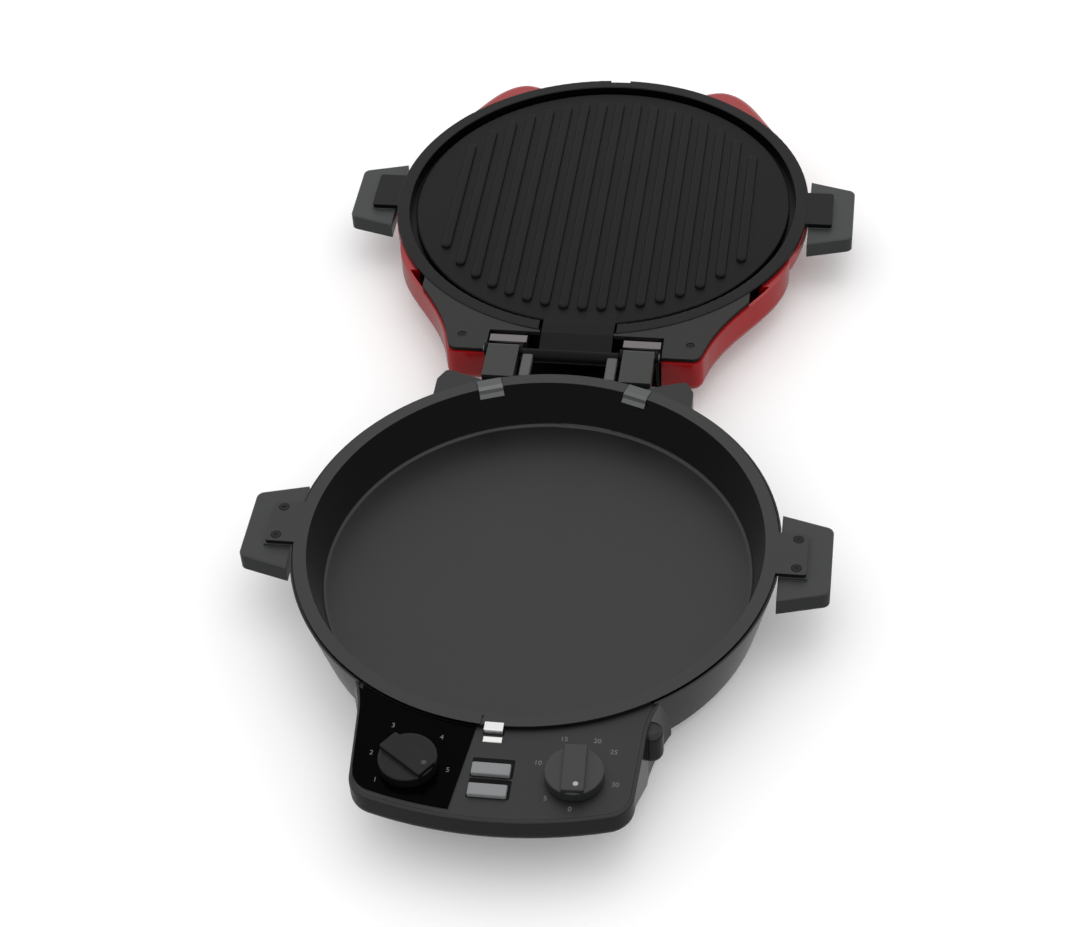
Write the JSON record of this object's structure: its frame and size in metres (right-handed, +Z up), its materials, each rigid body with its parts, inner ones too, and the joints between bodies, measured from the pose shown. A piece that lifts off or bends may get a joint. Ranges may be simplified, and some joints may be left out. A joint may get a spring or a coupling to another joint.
{
  "type": "electric pizza maker",
  "caption": "Round tabletop pizza oven with a deep pan and control box in its base and a hinged red lid with a ribbed upper grill plate, shown laid open flat.",
  "frame": {"origin": "on the table, under the middle of the open appliance's bounding box", "axes": "+Z up, -Y towards the control box at the front, +X to the user's right, the lid lies open towards +Y"},
  "size_m": [0.414, 0.8157, 0.073],
  "materials": {
    "housing_plastic": "matt black moulded plastic",
    "panel_plastic": "dark grey moulded plastic with a fine grain",
    "gloss_black": "glossy black",
    "red_shell": "glossy deep red",
    "pan_coating": "pressed aluminium with a satin dark grey non-stick coating",
    "plate_coating": "cast aluminium with a satin charcoal non-stick coating",
    "handle_plastic": "dark grey moulded plastic",
    "grip_plastic": "grey moulded plastic",
    "ring_plastic": "charcoal moulded heat-resistant plastic",
    "frame_black": "black painted sheet steel",
    "bracket_steel": "satin steel",
    "screw_steel": "blackened steel",
    "button_plastic": "light grey moulded plastic",
    "lens_plastic": "milky clear plastic",
    "hinge_metal": "grey painted cast bracket",
    "bright_steel": "bright zinc-plated steel",
    "dull_steel": "dull steel",
    "reflector_metal": "aluminised sheet",
    "rubber_black": "black rubber",
    "inner_plastic": "heat-resistant moulding"
  },
  "bodies": {
    "base": {"base_bottom_cover": "dull_steel", "base_handle_left": "handle_plastic", "base_handle_right": "handle_plastic", "base_handle_screws": "screw_steel", "base_housing": "housing_plastic", "bottom_cover_screws": "dull_steel", "control_fascia": "panel_plastic", "cord_gland": "rubber_black", "foot_front_left": "rubber_black", "foot_front_right": "rubber_black", "foot_rear_left": "rubber_black", "foot_rear_right": "rubber_black", "gloss_insert": "gloss_black", "hinge_knuckle_left": "bracket_steel", "hinge_knuckle_right": "bracket_steel", "hinge_pin_left": "bright_steel", "hinge_pin_right": "bright_steel", "hinge_post_left": "hinge_metal", "hinge_post_right": "hinge_metal", "hinge_screws": "dull_steel", "latch_spring": "dull_steel", "lower_element": "dull_steel", "lower_element_saddles": "dull_steel", "lower_pan": "pan_coating", "lower_reflector": "reflector_metal", "lower_thermostat_sensor": "dull_steel", "pan_clip_left": "bright_steel", "pan_clip_right": "bright_steel", "pilot_lamp": "inner_plastic", "pilot_lens": "lens_plastic", "switch_block": "inner_plastic", "terminal_block": "inner_plastic", "thermal_fuse": "dull_steel", "thermostat_body": "inner_plastic", "timer_body": "inner_plastic", "wire_conduit": "frame_black"},
    "lid": {"lid_shell": "red_shell", "lid_ring": "ring_plastic", "grill_plate": "plate_coating", "upper_element": "dull_steel", "upper_reflector": "reflector_metal", "upper_thermostat_sensor": "dull_steel", "lid_hinge_frame": "frame_black", "hinge_strap_left": "bright_steel", "hinge_strap_right": "bright_steel", "hinge_cover_left": "panel_plastic", "hinge_cover_right": "panel_plastic", "hinge_cover_screws": "screw_steel", "lid_handle_left": "grip_plastic", "lid_handle_right": "grip_plastic", "lid_handle_screws": "dull_steel", "lid_bumpers": "rubber_black"},
    "knob_left": {"knob_left": "handle_plastic", "spindle_left": "bright_steel"},
    "knob_right": {"knob_right": "handle_plastic", "spindle_right": "bright_steel"},
    "button_rear": {"button_rear": "button_plastic"},
    "button_front": {"button_front": "button_plastic"},
    "pan_latch": {"pan_latch": "bright_steel"}
  },
  "joints": [
    {"name": "lid_hinge", "type": "hinge", "parent": "base", "child": "lid", "pos_m": [0, 0.0355, 0.0585], "axis": [1, 0, 0], "range_deg": [0, 180]},
    {"name": "thermostat_knob_turn", "type": "hinge", "parent": "base", "child": "knob_left", "pos_m": [-0.0536, -0.3697, 0.0606], "axis": [0, 0, -1], "range_deg": [0, 270]},
    {"name": "timer_knob_turn", "type": "hinge", "parent": "base", "child": "knob_right", "pos_m": [0.0536, -0.3697, 0.0606], "axis": [0, 0, -1], "range_deg": [0, 300]},
    {"name": "rear_button_press", "type": "slide", "parent": "base", "child": "button_rear", "axis": [0, 0, -1], "range_m": [0, 0.002], "stiffness_N_per_m": 500},
    {"name": "front_button_press", "type": "slide", "parent": "base", "child": "button_front", "axis": [0, 0, -1], "range_m": [0, 0.002], "stiffness_N_per_m": 500},
    {"name": "pan_latch_pull", "type": "slide", "parent": "base", "child": "pan_latch", "axis": [0, -1, 0], "range_m": [0, 0.0018], "stiffness_N_per_m": 800}
  ]
}
